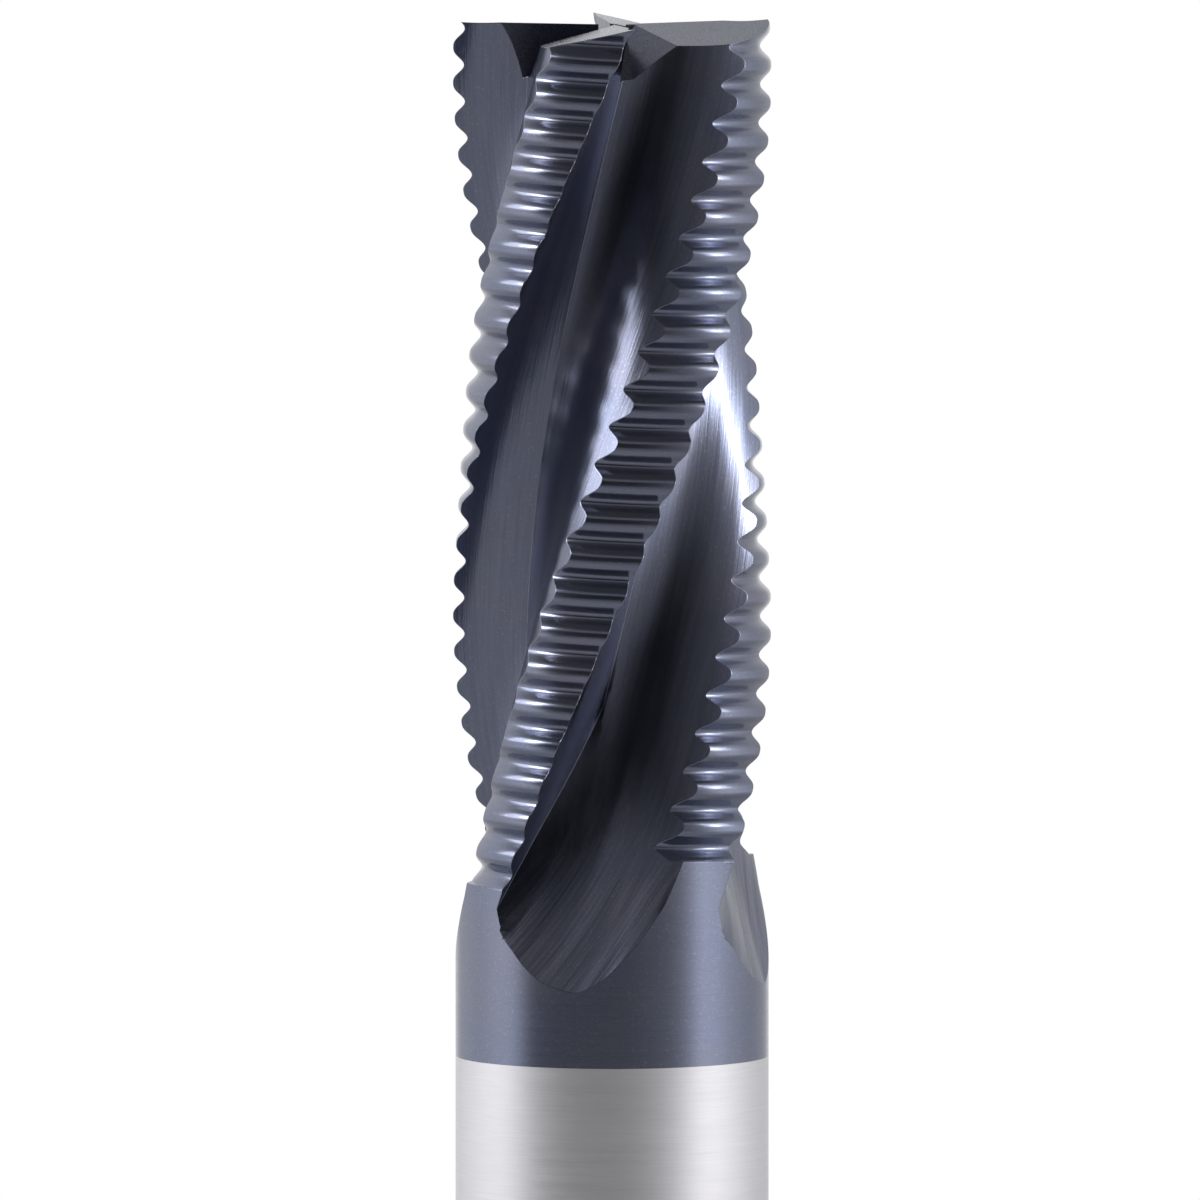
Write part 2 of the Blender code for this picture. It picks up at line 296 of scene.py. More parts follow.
def blank_row(row):
    """One ring of the ridged blank, which follows one phase of the thread on every land."""
    points = []
    for tooth in range(TEETH):
        phase = (row - round(tooth * ROWS_PER_WAVE / TEETH)) / ROWS_PER_WAVE
        for ahead in LAND_ANGLES + GAP_ANGLES:
            drop = FIRST_CREST_DROP + CREST_SPACING * (tooth / TEETH + ahead / 360.0 + phase)
            angle = edge_angle(tooth, drop) + ahead
            radius = land_radius(ahead, phase)
            if past_thread_end(angle, drop) > ROOT_PAST_CREST:
                radius = min(radius, SHANK_RADIUS - BLANK_INSET)
            points.append(at(radius, angle, drop))
    return points


def ridged_blank(finish):
    """The cutting length before its flutes are ground, from above the tips into the shank."""
    row_height = CREST_SPACING / ROWS_PER_WAVE
    first = -math.ceil((FIRST_CREST_DROP + BLANK_ABOVE) / row_height)
    last = math.ceil((RIDGED_LENGTH + BLANK_BELOW - FIRST_CREST_DROP) / row_height)
    return solid("ridged_blank", [[blank_row(row) for row in range(first, last + 1)]], finish)


def shank_blank(coated, bare):
    """The plain shank, coated down to a clean line and bare below it."""
    seam = thread_seam_angle()
    around = [seam + 360.0 * i / SHANK_SIDES for i in range(SHANK_SIDES)]
    angles = [FIRST_EDGE_ANGLE + past_first for past_first in around]
    steps = [thread_end_drop(past_first) - STEP_BEFORE_CREST for past_first in around]
    runout = COATED_LENGTH - max(steps) - SHANK_RING
    rows = round(runout / SHANK_RING)
    coated_drops = [COATED_LENGTH - runout * (1 - row / rows) for row in range(rows + 1)]
    rings = [
        [at(CORE_RADIUS, angle, max(steps)) for angle in angles],
        [at(CORE_RADIUS + BLANK_INSET, angle, drop) for angle, drop in zip(angles, steps)],
        [at(SHANK_RADIUS, angle, drop) for angle, drop in zip(angles, steps)],
        *([at(SHANK_RADIUS, angle, drop) for angle in angles] for drop in coated_drops),
        [at(SHANK_RADIUS, angle, OVERALL_LENGTH - SHANK_CHAMFER) for angle in angles],
        [at(SHANK_RADIUS - SHANK_CHAMFER, angle, OVERALL_LENGTH) for angle in angles],
    ]
    shank = solid("shank_blank", [rings], coated)
    shank.data.materials.append(bare)
    for face in shank.data.polygons:
        if face.center.z < OVERALL_LENGTH - COATED_LENGTH:
            face.material_index = 1
    return shank


# Flutes


def smooth_run(rows, steps):
    """More rows on a smooth line through these rows of a section, which are kept."""
    flat = []
    for radius, ahead, *rest in rows:
        turn = math.radians(ahead)
        flat.append(Vector((radius * math.cos(turn), radius * math.sin(turn), sum(rest))))
    padded = [2 * flat[0] - flat[1]] + flat + [2 * flat[-1] - flat[-2]]
    run = []
    for before, start, end, after in zip(padded, padded[1:], padded[2:], padded[3:]):
        bend_in = 2 * before - 5 * start + 4 * end - after
        bend_out = 3 * start - before - 3 * end + after
        for step in range(steps):
            t = step / steps
            run.append(start + 0.5 * ((end - before) * t + bend_in * t**2 + bend_out * t**3))
    run.append(flat[-1])
    return [(math.hypot(p.x, p.y), math.degrees(math.atan2(p.y, p.x)), p.z) for p in run]


def rake_angle(rake, radius):
    """How far ahead of the cutting edge the rake face is at a radius."""
    for (outer, outer_ahead, _), (inner, inner_ahead, _) in zip(rake, rake[1:]):
        if radius >= inner:
            part = min((radius - inner) / (outer - inner), 1.0)
            return inner_ahead + part * (outer_ahead - inner_ahead)
    return rake[-1][1]


def crease_radius(drop):
    """The radius of the crease at a drop. It climbs the rake face where the flute runs out."""
    radius = FLOOR_SECTION[0][0]
    start = FLUTE_LENGTH - CREASE_BEFORE_END - CREASE_RUNOUT
    climbed = (max(drop - start, 0.0) / CREASE_RUNOUT) ** CREASE_BEND
    return min(radius + climbed * (SHANK_RADIUS - radius), CUTTING_RADIUS + RAISED_CLEARANCE)


def flute_ring(tooth, drop, rake, floor):
    """One ring of a flute cutter, whose floor rises through the rake face along the run-out."""
    edge = edge_angle(tooth, drop)
    crease = crease_radius(drop)
    section = [(crease, rake_angle(rake, crease))]
    for radius, ahead, before_end in floor[1:]:
        depth = max(SHANK_RADIUS - radius, 0.0)
        start = FLUTE_LENGTH - before_end - math.sqrt(2 * RUNOUT_RADIUS * depth)
        rise = max(drop - start, 0.0) ** 2 / (2 * RUNOUT_RADIUS)
        raised = max(radius, min(radius + rise, CUTTING_RADIUS + RAISED_CLEARANCE))
        section.append((raised, ahead))
    for radius, _, _ in reversed(rake[:-1]):
        raised = max(radius, section[0][0] + RAKE_POINT_STEP)
        section.insert(0, (raised, rake_angle(rake, raised)))
    lid = CUTTING_RADIUS + CUTTER_OUTSIDE
    section += [(lid, ahead) for ahead in LID_ANGLES]
    return [at(radius, edge + ahead, drop) for radius, ahead in section]


def flute_stations():
    """Drops of the rings of a flute cutter, closer together along the run-out."""
    runout_start = FLUTE_LENGTH - math.sqrt(2 * RUNOUT_RADIUS * (SHANK_RADIUS - CORE_RADIUS))
    last = FLUTE_LENGTH + CUTTER_BELOW
    drops = [-CUTTER_ABOVE]
    while drops[-1] < last - RUNOUT_STATION:
        drops.append(drops[-1] + (RUNOUT_STATION if drops[-1] > runout_start else FLUTE_STATION))
    return drops + [last]


def flute_cutters(finish):
    rake = smooth_run(RAKE_SECTION, RAKE_STEPS)
    floor = smooth_run(FLOOR_SECTION, FLOOR_STEPS)
    drops = flute_stations()
    sweeps = [
        [flute_ring(tooth, drop, rake, floor) for drop in drops] for tooth in range(TEETH)
    ]
    return solid("flute_cutters", sweeps, finish)


# End teeth


def end_point(tooth, along, ahead, drop):
    """A point along the end edge of a tooth and ahead of it."""
    turn = math.radians(edge_angle(tooth, 0.0))
    x = along * math.cos(turn) - ahead * math.sin(turn)
    y = along * math.sin(turn) + ahead * math.cos(turn)
    return Vector((x, y, OVERALL_LENGTH - drop))


def relief_drop(along, behind):
    """The drop of the end relief of a tooth, which falls away behind its edge."""
    dish = (CUTTING_RADIUS - along) * math.tan(math.radians(DISH_ANGLE))
    return dish + behind * math.tan(math.radians(END_RELIEF_ANGLE))


def relief_cutter(tooth, finish):
    """A quarter block whose underside is the end relief behind the edge of one tooth."""
    reach = CUTTING_RADIUS + CUTTER_OUTSIDE
    corners = [
        (SECTOR_INNER, -SECTOR_AHEAD),
        (reach, -SECTOR_AHEAD),
        (reach, reach),
        (SECTOR_INNER, reach),
    ]
    top = [end_point(tooth, x, -y, -CUTTER_ABOVE) for x, y in corners]
    bottom = [end_point(tooth, x, -y, relief_drop(x, y)) for x, y in corners]
    return solid(f"relief_cutter_{tooth}", [[top, bottom]], finish)


def gash_section(tooth, along):
    """The section of a gash this far from the axis: leaning wall, floor and open back."""
    floor_drop = GASH_CENTRE_DROP + along * math.tan(math.radians(GASH_SLOPE_ANGLE))
    lean = math.tan(math.radians(GASH_WALL_LEAN))
    wall_foot = GASH_WALL_OFFSET - floor_drop * lean
    floor_end = wall_foot + GASH_FLOOR
    opening = (floor_drop + CUTTER_ABOVE) * math.tan(math.radians(GASH_BACK_ANGLE))
    return [
        end_point(tooth, along, GASH_WALL_OFFSET + CUTTER_ABOVE * lean, -CUTTER_ABOVE),
        end_point(tooth, along, wall_foot, floor_drop),
        end_point(tooth, along, floor_end, floor_drop),
        end_point(tooth, along, floor_end + opening, -CUTTER_ABOVE),
    ]


def gash_cutter(tooth, finish):
    reaches = (GASH_INNER_REACH, CUTTING_RADIUS + GASH_OUTER_REACH)
    rings = [gash_section(tooth, along) for along in reaches]
    return solid(f"gash_cutter_{tooth}", [rings], finish)


def centre_cutter(finish):
    """Clears the point where the four end edges would meet."""
    angles = [360.0 * i / CENTRE_RELIEF_SIDES for i in range(CENTRE_RELIEF_SIDES)]
    rings = [
        [at(CENTRE_RELIEF_RADIUS, angle, -CUTTER_ABOVE) for angle in angles],
        [at(CENTRE_RELIEF_RADIUS, angle, CENTRE_RELIEF_DROP) for angle in angles],
    ]
    return solid("centre_cutter", [rings], finish)


def combine(target, other, operation):
    """Adds or cuts another solid, which leaves its own finish on the surfaces that it makes."""
    modifier = target.modifiers.new(other.name, "BOOLEAN")
    modifier.operation = operation
    modifier.solver = "EXACT"
    modifier.material_mode = "TRANSFER"
    modifier.object = other
    bpy.context.view_layer.update()
    graph = bpy.context.evaluated_depsgraph_get()
    made = bpy.data.meshes.new_from_object(target.evaluated_get(graph))
    target.modifiers.remove(modifier)
    old = target.data
    target.data = made
    bpy.data.meshes.remove(old)
    bpy.data.objects.remove(other)


def keep_edges_crisp(mesh):
    """Shades across no sharp edge, and across no edge between two ground surfaces."""
    bm = bmesh.new()
    bm.from_mesh(mesh)
    for edge in bm.edges:
        one_finish = len({face.material_index for face in edge.link_faces}) == 1
        edge.smooth = one_finish and edge.calc_face_angle(0.0) < math.radians(SHARP_ANGLE)
    bm.to_mesh(mesh)
    bm.free()


def end_mill(finishes):
    """The whole mill, ground from its blank in the order of the real one."""
    mill = ridged_blank(finishes["land"])
    mill.name = "roughing_end_mill"
    combine(mill, shank_blank(finishes["shank"], finishes["bare"]), "UNION")
    combine(mill, flute_cutters(finishes["flute"]), "DIFFERENCE")
    for tooth in range(TEETH):
        combine(mill, gash_cutter(tooth, finishes["gash"]), "DIFFERENCE")
    for tooth in range(TEETH):
        combine(mill, relief_cutter(tooth, finishes["end"]), "DIFFERENCE")
    combine(mill, centre_cutter(finishes["end"]), "DIFFERENCE")
    mill.data.name = "roughing_end_mill"
    mill.data.shade_smooth()
    keep_edges_crisp(mill.data)
    return mill


# Finishes


def grey(level):
    return (level, level, level, 1.0)


def set_input(tree, socket, value):
    """Links a socket to another one, or sets its value."""
    if isinstance(value, bpy.types.NodeSocket):
        tree.links.new(value, socket)
    else:
        socket.default_value = value


def add(tree, kind, **inputs):
    """A node of this kind, with its inputs set by name, or by number as i0, i1 and so on."""
    node = tree.nodes.new(kind)
    for name, value in inputs.items():
        by_number = name[0] == "i" and name[1:].isdigit()
        set_input(tree, node.inputs[int(name[1:]) if by_number else name.replace("_", " ")], value)
    return node


def maths(tree, operation, first, second=0.0):
    node = add(tree, "ShaderNodeMath", i0=first, i1=second)
    node.operation = operation
    return node.outputs[0]


def sum_of_squares(tree, first, second):
    return maths(
        tree,
        "ADD",
        maths(tree, "MULTIPLY", first, first),
        maths(tree, "MULTIPLY", second, second),
    )


def spread(tree, value, low, high, to_low, to_high):
    """Maps a value from one range to another, held at both ends."""
    node = add(tree, "ShaderNodeMapRange", Value=value)
    node.inputs["From Min"].default_value = low
    node.inputs["From Max"].default_value = high
    node.inputs["To Min"].default_value = to_low
    node.inputs["To Max"].default_value = to_high
    return node.outputs["Result"]


def mix_colours(tree, factor, first, second, blend="MIX"):
    node = tree.nodes.new("ShaderNodeMix")
    node.data_type = "RGBA"
    node.blend_type = blend
    for name, value in (("Factor_Float", factor), ("A_Color", first), ("B_Color", second)):
        set_input(tree, next(s for s in node.inputs if s.identifier == name), value)
    return next(s for s in node.outputs if s.identifier == "Result_Color")


FLOAT = "NodeSocketFloat"
VECTOR = "NodeSocketVector"
COLOUR = "NodeSocketColor"


def new_group(name, inputs, outputs):
    """A shader node group, with inputs as name: (type, default) and outputs as name: type."""
    group = bpy.data.node_groups.new(name, "ShaderNodeTree")
    for socket, (kind, default) in inputs.items():
        made = group.interface.new_socket(socket, in_out="INPUT", socket_type=kind)
        made.default_value = default
    for socket, kind in outputs.items():
        group.interface.new_socket(socket, in_out="OUTPUT", socket_type=kind)
    given = group.nodes.new("NodeGroupInput").outputs
    result = group.nodes.new("NodeGroupOutput").inputs
    return group, given, result


def helix_group():
    """Turns each height back along the helix, so that a pattern follows the flutes.

    Round takes the depth out of the pattern, so that lines stay whole on a floor that rises.
    """
    group, given, result = new_group(
        "helix_untwist",
        {
            "Position": (VECTOR, (0, 0, 0)),
            "Lead": (FLOAT, HELIX_LEAD),
            "Along": (FLOAT, HEIGHT_SQUEEZE),
            "Round": (FLOAT, 0.0),
        },
        {"Coordinates": VECTOR},
    )
    height = add(group, "ShaderNodeSeparateXYZ", Vector=given["Position"]).outputs["Z"]
    turn = maths(group, "DIVIDE", maths(group, "MULTIPLY", height, -2 * math.pi), given["Lead"])
    rotate = add(group, "ShaderNodeVectorRotate", Vector=given["Position"], Angle=turn)
    rotate.rotation_type = "Z_AXIS"
    parts = add(group, "ShaderNodeSeparateXYZ", Vector=rotate.outputs[0]).outputs
    out = maths(group, "SQRT", sum_of_squares(group, parts["X"], parts["Y"]))
    evened = maths(group, "POWER", maths(group, "DIVIDE", SHANK_RADIUS, out), given["Round"])
    across = maths(group, "MULTIPLY", parts["X"], evened)
    ahead = maths(group, "MULTIPLY", parts["Y"], evened)
    squeezed = maths(group, "MULTIPLY", parts["Z"], given["Along"])
    joined = add(group, "ShaderNodeCombineXYZ", X=across, Y=ahead, Z=squeezed)
    group.links.new(joined.outputs[0], result["Coordinates"])
    return group


def grind_group():
    """Grinding lines: fine streaks as a shade, a few broader bands, and both as a height."""
    group, given, result = new_group(
        "grinding_lines",
        {
            "Coordinates": (VECTOR, (0, 0, 0)),
            "Lines per metre": (FLOAT, FLUTE_LINES),
            "Band height": (FLOAT, 1.0),
        },
        {"Height": FLOAT, "Shade": FLOAT, "Bands": FLOAT},
    )
    fine = add(group, "ShaderNodeTexNoise", Vector=given["Coordinates"], Detail=3.0, Roughness=0.65)
    group.links.new(given["Lines per metre"], fine.inputs["Scale"])
    broad = add(group, "ShaderNodeTexNoise", Vector=given["Coordinates"], Detail=2.0)
    bands = maths(group, "MULTIPLY", given["Lines per metre"], BANDS_PER_LINE)
    group.links.new(bands, broad.inputs["Scale"])
    raised = maths(group, "MULTIPLY", broad.outputs[0], given["Band height"])
    height = maths(group, "ADD", fine.outputs[0], raised)
    group.links.new(height, result["Height"])
    group.links.new(spread(group, fine.outputs[0], *NOISE_RANGE, 0.0, 1.0), result["Shade"])
    group.links.new(spread(group, broad.outputs[0], *NOISE_RANGE, 0.0, 1.0), result["Bands"])
    return group


def edge_group():
    """A mask along sharp edges for worn coating and a painted glint, and a rounded normal there."""
    group, given, result = new_group(
        "edge_touch",
        {"Round": (FLOAT, EDGE_ROUNDING)},
        {"Mask": FLOAT, "Normal": VECTOR},
    )
    bevel = add(group, "ShaderNodeBevel", Radius=given["Round"])
    bevel.samples = 6
    flat = group.nodes.new("ShaderNodeNewGeometry").outputs["Normal"]
    dot = add(group, "ShaderNodeVectorMath", i0=bevel.outputs[0], i1=flat)
    dot.operation = "DOT_PRODUCT"
    # Mask for the lighter edge colour: worn coating and a painted glint
    worn = spread(group, dot.outputs["Value"], WEAR_AND_GLINT_STARTS, WEAR_AND_GLINT_FULL, 0.0, 1.0)
    group.links.new(worn, result["Mask"])
    group.links.new(bevel.outputs[0], result["Normal"])
    return group


def coating_group():
    """The hard coating: a blue-violet grey that drifts a little in hue, with tiny specks."""
    group, given, result = new_group(
        "coating_tone",
        {"Position": (VECTOR, (0, 0, 0))},
        {"Colour": COLOUR, "Haze": FLOAT},
    )
    position = given["Position"]
    drift = add(group, "ShaderNodeTexNoise", Vector=position, Scale=DRIFT_SCALE, Detail=2.0)
    specks = add(group, "ShaderNodeTexNoise", Vector=position, Scale=SPECK_SCALE, Detail=1.0)
    drifted = spread(group, drift.outputs[0], *NOISE_RANGE, 0.0, 1.0)
    hue = mix_colours(group, drifted, COATING_BLUE, COATING_VIOLET)
    speck = spread(group, specks.outputs[0], *SPECK_RANGE, 0.0, SPECK_STRENGTH)
    group.links.new(mix_colours(group, speck, hue, COATING_SPECK), result["Colour"])
    group.links.new(drift.outputs[0], result["Haze"])
    return group


def place(tree, group, **inputs):
    """Places a shared group in a material, with its inputs set by name."""
    node = tree.nodes.new("ShaderNodeGroup")
    node.node_tree = group
    for name, value in inputs.items():
        set_input(tree, node.inputs[name.replace("_", " ")], value)
    return node.outputs


def new_finish(name, metallic=1.0):
    """A new material, with its node tree, its shader and its Object coordinates."""
    material = bpy.data.materials.new(name)
    material.use_nodes = True
    tree = material.node_tree
    shader = tree.nodes["Principled BSDF"]
    shader.inputs["Metallic"].default_value = metallic
    return material, tree, shader, tree.nodes.new("ShaderNodeTexCoord").outputs["Object"]


def scaled(tree, position, factors):
    """Coordinates stretched by a factor on each axis."""
    node = add(tree, "ShaderNodeVectorMath", i0=position, i1=factors)
    node.operation = "MULTIPLY"
    return node.outputs[0]


def lay_on(tree, shader, groups, colour, lines, haze, roughness, relief, contrast, worn):
    """Joins colour, grinding lines, edge wear and a painted edge glint into a finish.

    The roughness is a lowest and a highest value, the relief is the depth of the lines in metres,
    and the last two are shares of how far lines darken the colour and edges go over into a lighter
    grey that is partly worn coating and partly a painted glint.
    """
    edge = place(tree, groups["edge"], Round=EDGE_ROUNDING)
    shade = mix_colours(tree, lines["Shade"], grey(1.0 - contrast), WHITE)
    streaked = mix_colours(tree, 1.0, colour, shade, "MULTIPLY")
    # Edges go over into a lighter grey: partly worn coating, partly a painted glint
    edge_wear_and_glint = maths(tree, "MULTIPLY", edge["Mask"], worn)
    tree.links.new(mix_colours(tree, edge_wear_and_glint, streaked, WORN_EDGE_AND_PAINTED_GLINT), shader.inputs["Base Color"])
    dulled = maths(tree, "ADD", lines["Bands"], haze)
    rough = spread(tree, dulled, *BANDS_AND_HAZE, *roughness)
    tree.links.new(rough, shader.inputs["Roughness"])
    bump = add(tree, "ShaderNodeBump", Height=lines["Height"], Normal=edge["Normal"])
    bump.inputs["Strength"].default_value = 1.0
    bump.inputs["Distance"].default_value = relief
    tree.links.new(bump.outputs[0], shader.inputs["Normal"])


def coated_finish(name, groups, stretch, fineness, bands=1.0, metallic=1.0, **look):
    """A coated surface whose grinding lines are stretched by a factor on each axis."""
    material, tree, shader, position = new_finish(name, metallic)
    tone = place(tree, groups["coating"], Position=position)
    lines = place(
        tree,
        groups["grind"],
        Coordinates=scaled(tree, position, stretch),
        Lines_per_metre=fineness,
        Band_height=bands,
    )
    lay_on(tree, shader, groups, tone["Colour"], lines, tone["Haze"], **look)
    return material


def blend(tree, share, first, second):
    """A value that goes from the first to the second as the share rises."""
    change = maths(tree, "SUBTRACT", second, first)
    return maths(tree, "ADD", first, maths(tree, "MULTIPLY", change, share))


def flute_finish(groups):
    """Ground flutes, whose grinding lines turn and coarsen where the wheel left them."""
    material, tree, shader, position = new_finish("coated_flute")
    tone = place(tree, groups["coating"], Position=position)
    along = place(tree, groups["helix"], Position=position)
    fine = place(
        tree, groups["grind"], Coordinates=along["Coordinates"], Lines_per_metre=FLUTE_LINES
    )
    turned = place(tree, groups["helix"], Position=position, Lead=RUNOUT_MARKS_LEAD, Round=1.0)
    coarse = place(
        tree, groups["grind"], Coordinates=turned["Coordinates"], Lines_per_metre=RUNOUT_LINES
    )
    height = add(tree, "ShaderNodeSeparateXYZ", Vector=position).outputs["Z"]
    start = OVERALL_LENGTH - RUNOUT_MARKS_DROP
    share = spread(tree, height, start - RUNOUT_MARKS_BLEND, start, 1.0, 0.0)
    faint_shade = spread(tree, fine["Shade"], 0.0, 1.0, FLUTE_FAINTEST_SHADE, 1.0)
    smooth_bands = spread(tree, fine["Bands"], 0.0, 1.0, *FLUTE_BANDS)
    rough_bands = spread(tree, coarse["Bands"], 0.0, 1.0, *RUNOUT_BANDS)
    lines = {
        "Height": blend(tree, share, fine["Height"], coarse["Height"]),
        "Shade": blend(tree, share, faint_shade, coarse["Shade"]),
        "Bands": blend(tree, share, smooth_bands, rough_bands),
    }
    lay_on(
        tree,
        shader,
        groups,
        tone["Colour"],
        lines,
        tone["Haze"],
        roughness=(0.16, 0.28),
        relief=0.0000063,
        contrast=0.40,
        worn=0.15,
    )
    return material


def smear_along(material, stretch):
    """Stretches the reflections of a cylindrically ground surface along the tool."""
    quarter_turn = 0.25
    shader = material.node_tree.nodes["Principled BSDF"]
    shader.inputs["Anisotropic"].default_value = stretch
    shader.inputs["Anisotropic Rotation"].default_value = quarter_turn
    return material


def bare_finish(name, groups):
    """Cylindrically ground bare carbide, bright with fine lines round it."""
    material, tree, shader, position = new_finish(name)
    lines = place(
        tree,
        groups["grind"],
        Coordinates=scaled(tree, position, ROUND_TOOL),
        Lines_per_metre=SHANK_LINES,
        Band_height=0.0,
    )
    smear = add(tree, "ShaderNodeTexNoise", Vector=position, Scale=SMEAR_SCALE, Detail=3.0)
    colour = mix_colours(tree, smear.outputs[0], BARE_DARK, BARE_LIGHT)
    lay_on(
        tree,
        shader,
        groups,
        colour,
        lines,
        smear.outputs[0],
        roughness=(0.46, 0.52),
        relief=0.0000002,
        contrast=0.06,
        worn=0.2,
    )
    return material


def mill_finishes():
    """The finish of each kind of surface, under the name of the surface."""
    groups = {
        "helix": helix_group(),
        "grind": grind_group(),
        "edge": edge_group(),
        "coating": coating_group(),
    }
    land = coated_finish(
        "coated_land",
        groups,
        ROUND_TOOL,
        LAND_LINES,
        metallic=0.88,
        roughness=(0.15, 0.20),
        relief=0.0000003,
        contrast=0.10,
        worn=0.35,
    )
    flute = flute_finish(groups)
    end = coated_finish(
        "coated_end",
        groups,
        ACROSS_END,
        END_LINES,
        roughness=(0.22, 0.30),
        relief=0.0000001,
        contrast=0.60,
        worn=0.30,
    )
    # The gashes' lines are too fine to be seen, so their strong contrast only darkens them evenly:
    # painted shade in the recesses
    gash = coated_finish(
        "coated_gash_painted_shade",
        groups,
        ACROSS_END,
        END_LINES,
        roughness=(0.26, 0.34),
        relief=0.00000005,
        contrast=0.85,
        worn=0.0,
    )
    shank = coated_finish(
        "coated_shank",
        groups,
        ROUND_TOOL,
        SHANK_LINES,
        bands=0.0,
        roughness=(0.26, 0.30),
        relief=0.0000001,
        contrast=0.04,
        worn=0.0,
    )
    return {
        "land": land,
        "flute": flute,
        "end": end,
        "gash": gash,
        "shank": smear_along(shank, 0.7),
        "bare": smear_along(bare_finish("bare_carbide", groups), 0.3),
    }


# Studio

# Brightness of the tent at each bearing round the tool. 0 is the camera's side, 90 its right
TENT_LEVELS = (
    (-180, 0.78),
    (-150, 0.72),
    (-132, 0.95),
    (-110, 1.05),
    (-90, 1.30),
    (-77, 1.25),
    (-69, 0.75),
    (-62, 0.25),
    (-55, 0.08),
    (-42, 0.02),
    (-18, 0.01),
    (0, 0.02),
    (15, 0.07),
    (30, 0.22),
    (42, 0.34),
    (50, 0.48),
    (58, 0.75),
    (65, 1.15),
    (74, 1.50),
    (86, 1.55),
    (96, 1.25),
    (108, 1.00),
    (125, 0.75),
    (150, 0.68),
    (180, 0.78),
)
# The roof and the table, which show where the walls are darker than they are, and the dark ceiling
ROOF_LEVEL = 0.36
TABLE_LEVEL = 0.30
CEILING_LEVEL = 0.06

# Where the walls go over into the table, the roof and the ceiling, as the sine of the elevation
TABLE_EDGE = (-0.13, -0.03)
ROOF_EDGE = (0.37, 0.50)
CEILING_EDGE = (0.60, 0.84)

# How far the near edge of the tent's left wall leans away with height, the sines of elevation
# between which it does so, and the bearings between which that fades out
LEFT_WALL_LEAN = 15.0
LEAN_HEIGHTS = (-0.07, 0.30)
LEAN_BEARINGS = (-69.0, -34.0)

# Where reflections start to show the white backdrop and show nothing else, as the part of their
# direction that points away from the camera
BACKDROP_MIRRORED = (0.90, 0.97)

# Softboxes: name, bearing, elevation, distance, width, height and brightness
LAMPS = (
    ("left_lamp", -91.0, 28.0, 0.6, 0.38, 0.34, 2.4),
    ("left_bulb", -84.0, 32.0, 0.5, 0.09, 0.15, 13.0),
    ("right_lamp", 73.0, 22.0, 0.6, 0.26, 0.28, 2.3),
    ("right_bulb", 71.0, 17.0, 0.5, 0.06, 0.11, 10.0),
)
LAMP_TARGET = (0.0, 0.0, 0.075)

# Floor: it fades into the white backdrop between two distances from the tool
FLOOR_RADIUS = 0.5
FLOOR_SIDES = 96
FLOOR_FADE = (0.07, 0.34)
FLOOR_TONE = 0.70
FLOOR_ROUGHNESS = 0.9


def tent_world():
    """A white tent round the sides and back, and a dark room on the camera's side.

    The camera, and reflections that point almost straight back, see plain white.
    """
    world = bpy.data.worlds.new("white_tent")
    bpy.context.scene.world = world
    world.use_nodes = True
    tree = world.node_tree
    background = tree.nodes["Background"]
    direction = tree.nodes.new("ShaderNodeTexCoord").outputs["Generated"]
    parts = add(tree, "ShaderNodeSeparateXYZ", Vector=direction).outputs
    bearing = maths(tree, "ARCTAN2", parts["X"], maths(tree, "MULTIPLY", parts["Y"], -1.0))
    lean = spread(tree, parts["Z"], *LEAN_HEIGHTS, 0.0, math.radians(LEFT_WALL_LEAN))
    on_left = spread(tree, bearing, *map(math.radians, LEAN_BEARINGS), 1.0, 0.0)
    leant = maths(tree, "ADD", bearing, maths(tree, "MULTIPLY", lean, on_left))
    turned = spread(tree, leant, -math.pi, math.pi, 0.0, 1.0)
    ramp = add(tree, "ShaderNodeValToRGB", Fac=turned)
    walls = ramp.outputs[0]
    elements = ramp.color_ramp.elements
    elements[0].position = 0.0
    elements[1].position = 1.0
    elements[0].color = grey(TENT_LEVELS[0][1])
    elements[1].color = grey(TENT_LEVELS[-1][1])
    for bearing_angle, level in TENT_LEVELS[1:-1]:
        elements.new(bearing_angle / 360.0 + 0.5).color = grey(level)
    roof = mix_colours(tree, 1.0, walls, grey(ROOF_LEVEL), "LIGHTEN")
    risen = spread(tree, parts["Z"], *ROOF_EDGE, 0.0, 1.0)
    upper = mix_colours(tree, risen, walls, roof)
    table = mix_colours(tree, 1.0, walls, grey(TABLE_LEVEL), "LIGHTEN")
    fallen = spread(tree, parts["Z"], *TABLE_EDGE, 1.0, 0.0)
    open_topped = mix_colours(tree, fallen, upper, table)
    closing = spread(tree, parts["Z"], *CEILING_EDGE, 0.0, 1.0)
    tent = mix_colours(tree, closing, open_topped, grey(CEILING_LEVEL))
    path = tree.nodes.new("ShaderNodeLightPath").outputs
    behind = spread(tree, parts["Y"], *BACKDROP_MIRRORED, 0.0, 1.0)
    mirrored = maths(tree, "MULTIPLY", path["Is Glossy Ray"], behind)
    seen = maths(tree, "ADD", path["Is Camera Ray"], path["Is Transmission Ray"])
    shown = spread(tree, maths(tree, "ADD", seen, mirrored), 0.0, 1.0, 0.0, 1.0)
    colour = mix_colours(tree, shown, tent, WHITE)
    tree.links.new(colour, background.inputs["Color"])


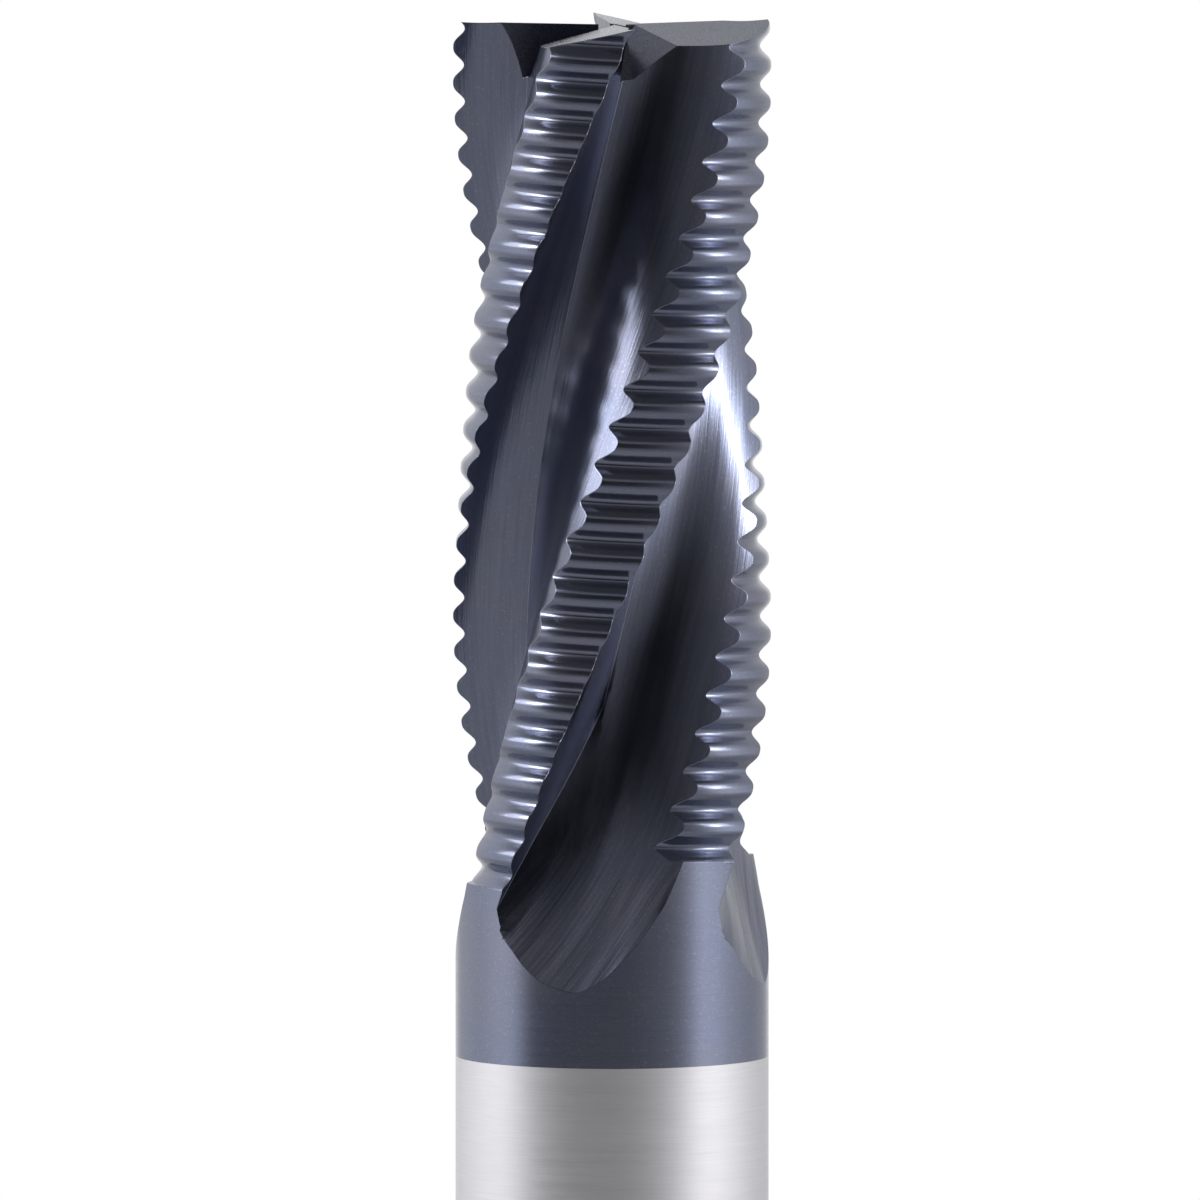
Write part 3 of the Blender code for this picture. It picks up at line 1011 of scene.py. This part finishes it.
def soft_lamp(name, bearing, elevation, distance, width, height, brightness):
    """An upright softbox that faces the middle of the cutting length."""
    data = bpy.data.lights.new(name, "AREA")
    data.shape = "RECTANGLE"
    data.size = width
    data.size_y = height
    data.energy = brightness * math.pi * width * height
    lamp = bpy.data.objects.new(name, data)
    bpy.context.scene.collection.objects.link(lamp)
    turn = math.radians(bearing)
    rise = math.radians(elevation)
    reach = math.cos(rise)
    back = Vector((math.sin(turn) * reach, -math.cos(turn) * reach, math.sin(rise)))
    lamp.location = Vector(LAMP_TARGET) + back * distance
    lamp.rotation_euler = back.to_track_quat("Z", "Y").to_euler()


def pale_floor():
    """A round pale floor whose rim fades into the white backdrop."""
    bm = bmesh.new()
    bmesh.ops.create_circle(bm, cap_ends=True, segments=FLOOR_SIDES, radius=FLOOR_RADIUS)
    mesh = bpy.data.meshes.new("floor")
    bm.to_mesh(mesh)
    bm.free()
    floor = bpy.data.objects.new("floor", mesh)
    bpy.context.scene.collection.objects.link(floor)
    material, tree, shader, position = new_finish("pale_floor", metallic=0.0)
    shader.inputs["Base Color"].default_value = grey(FLOOR_TONE)
    shader.inputs["Roughness"].default_value = FLOOR_ROUGHNESS
    distance = add(tree, "ShaderNodeVectorMath", i0=position)
    distance.operation = "LENGTH"
    fade = spread(tree, distance.outputs["Value"], *FLOOR_FADE, 1.0, 0.0)
    tree.links.new(fade, shader.inputs["Alpha"])
    mesh.materials.append(material)


def photo_camera():
    data = bpy.data.cameras.new("camera")
    data.sensor_width = 36.0
    data.lens = VIEW_LENS
    data.clip_start = 0.01
    data.clip_end = 10.0
    camera = bpy.data.objects.new("camera", data)
    bpy.context.scene.collection.objects.link(camera)
    rise = math.radians(VIEW_ELEVATION)
    back = Vector((0.0, -math.cos(rise), math.sin(rise)))
    camera.location = Vector(VIEW_CENTRE) + back * VIEW_DISTANCE
    camera.rotation_euler = back.to_track_quat("Z", "Y").to_euler()
    bpy.context.scene.camera = camera


def main():
    mill = end_mill(mill_finishes())
    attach(mill, "root")
    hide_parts("end_mill")
    tent_world()
    for lamp in LAMPS:
        soft_lamp(*lamp)
    pale_floor()
    photo_camera()
    bpy.context.scene.view_settings.view_transform = "Standard"


main()
